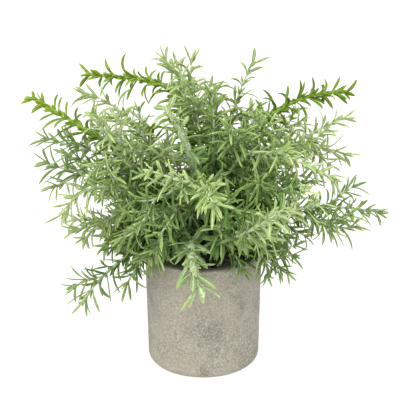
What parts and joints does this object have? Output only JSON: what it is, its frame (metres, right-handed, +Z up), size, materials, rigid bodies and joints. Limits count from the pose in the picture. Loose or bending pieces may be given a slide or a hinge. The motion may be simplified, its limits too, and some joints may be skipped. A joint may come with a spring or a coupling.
{
  "type": "potted rosemary plant",
  "caption": "Bushy rosemary plant in a round stone-grey pot, its leafy sprigs rising from dark soil and arching out over the rim.",
  "frame": {"origin": "middle of the pot's flat underside, on the surface that it stands on", "axes": "+Z up; +X to the right and +Y away from the viewer, seen from the side that the picture shows"},
  "size_m": [0.269, 0.2412, 0.2423],
  "materials": {
    "pot_cement": "matt, speckled, warm grey cement look",
    "soil": "rough, dark, crumbly",
    "leaf_fresh": "satin, fresh green new growth",
    "leaf_dusty": "matt, grey-green with a pale bloom",
    "leaf_tipped": "matt, pale green with yellow-green tips",
    "leaf_frosted": "matt, silvery green with a heavy bloom"
  },
  "bodies": {
    "root": {"pot": "pot_cement", "soil": "soil", "sprig_left_high": "leaf_fresh", "sprig_left_top": "leaf_fresh", "sprig_left_crown": "leaf_dusty", "sprig_left_middle": "leaf_dusty", "sprig_left_low": "leaf_dusty", "sprig_left_rim": "leaf_dusty", "sprig_top_left": "leaf_dusty", "sprig_top_middle": "leaf_dusty", "sprig_top_right": "leaf_dusty", "sprig_front_upright": "leaf_frosted", "sprig_front_left": "leaf_tipped", "sprig_front_centre": "leaf_tipped", "sprig_front_rim": "leaf_frosted", "sprig_front_right": "leaf_tipped", "sprig_right_high": "leaf_fresh", "sprig_right_crown": "leaf_dusty", "sprig_right_middle": "leaf_tipped", "sprig_right_low": "leaf_dusty", "sprig_right_rim": "leaf_dusty", "sprig_right_back": "leaf_dusty", "sprig_back_crown": "leaf_dusty", "sprig_back_left": "leaf_dusty", "sprig_back_middle": "leaf_dusty", "sprig_back_right": "leaf_tipped", "sprig_back_rim": "leaf_dusty", "sprig_back_corner": "leaf_dusty"}
  },
  "joints": []
}
